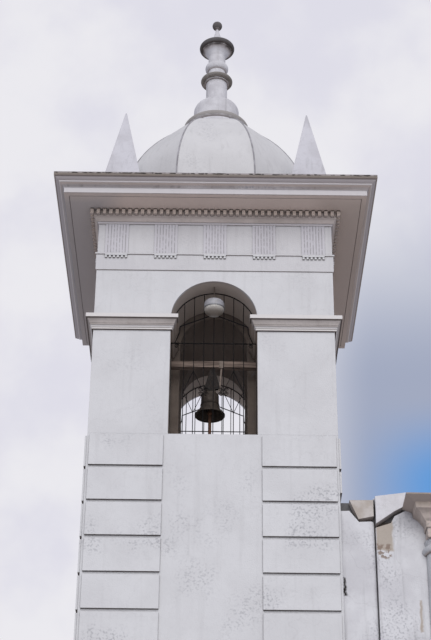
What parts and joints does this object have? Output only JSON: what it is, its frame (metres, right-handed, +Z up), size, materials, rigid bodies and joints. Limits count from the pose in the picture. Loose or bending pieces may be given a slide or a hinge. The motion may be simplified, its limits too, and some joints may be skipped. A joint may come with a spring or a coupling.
{
  "type": "church bell tower",
  "caption": "Square church bell tower with an arched belfry, bell with swinging clapper, cornice, pinnacles, octagonal dome and turned finial, with a stub of damaged front wall.",
  "frame": {"origin": "on the ground, under the middle of the whole part's outer box", "axes": "+Z up the tower, -Y out of the front face, +X towards the stub of the front wall"},
  "size_m": [7.796, 6.192, 27.3428],
  "materials": {
    "base_render": "weathered lime render, damp stained",
    "bell_bronze": "dull dark bronze",
    "clapper_iron": "rusty",
    "column_stone": "weathered lime render",
    "cornice": "weathered render with lichen on the edge",
    "dome_render": "weathered render with dark streaks",
    "facade_coping": "broken coping",
    "facade_render": "cracked, stained lime render",
    "finial_stone": "weathered, mossy on the rings",
    "floor_stone": "worn",
    "hanger_iron": "rusty",
    "iron": "black paint, matt",
    "lamp_glass": "frosted",
    "lamp_metal": "white, satin",
    "moulding": "weathered lime render",
    "pinnacle_render": "weathered render",
    "quoin_render": "smooth weathered render",
    "render": "weathered lime render",
    "reveal_render": "rough grey render",
    "timber": "weathered",
    "vault_render": "rough sooty render"
  },
  "bodies": {
    "tower": {"arch_back": "render", "arch_front": "render", "arch_left": "render", "arch_right": "render", "architrave": "moulding", "back_wall": "render", "base_course": "base_render", "bed_mould": "moulding", "belfry_floor": "floor_stone", "bell": "bell_bronze", "bell_beam": "timber", "bell_hanger": "hanger_iron", "corner_piers": "render", "cornice": "cornice", "crossing_vault": "vault_render", "dentils": "moulding", "dome": "dome_render", "dome_drum": "dome_render", "facade_block_left": "facade_coping", "facade_block_right": "facade_coping", "facade_wall_left": "facade_render", "facade_wall_right": "facade_render", "finial_ball": "finial_stone", "finial_base": "finial_stone", "finial_cap": "finial_stone", "finial_drum": "finial_stone", "finial_neck": "finial_stone", "finial_shaft": "finial_stone", "frieze": "moulding", "frieze_panels": "moulding", "front_wall": "render", "grille_back": "iron", "grille_bars": "iron", "grille_front": "iron", "grille_left": "iron", "grille_right": "iron", "imposts": "moulding", "inner_piers": "reveal_render", "lamp_arm": "iron", "lamp_bowl": "lamp_glass", "lamp_cap": "lamp_metal", "left_wall": "render", "lower_column": "column_stone", "lower_entablature": "column_stone", "lower_pedestal": "column_stone", "pinnacles": "pinnacle_render", "quoins": "quoin_render", "regulae": "moulding", "right_wall": "render", "upper_column": "column_stone", "upper_entablature": "column_stone", "upper_pedestal": "column_stone"},
    "clapper": {"clapper": "clapper_iron"}
  },
  "joints": [
    {"name": "clapper_swing", "type": "hinge", "parent": "tower", "child": "clapper", "pos_m": [-0.862, -1.4, 16.892], "axis": [0, 1, 0], "range_deg": [-22, 22]}
  ]
}
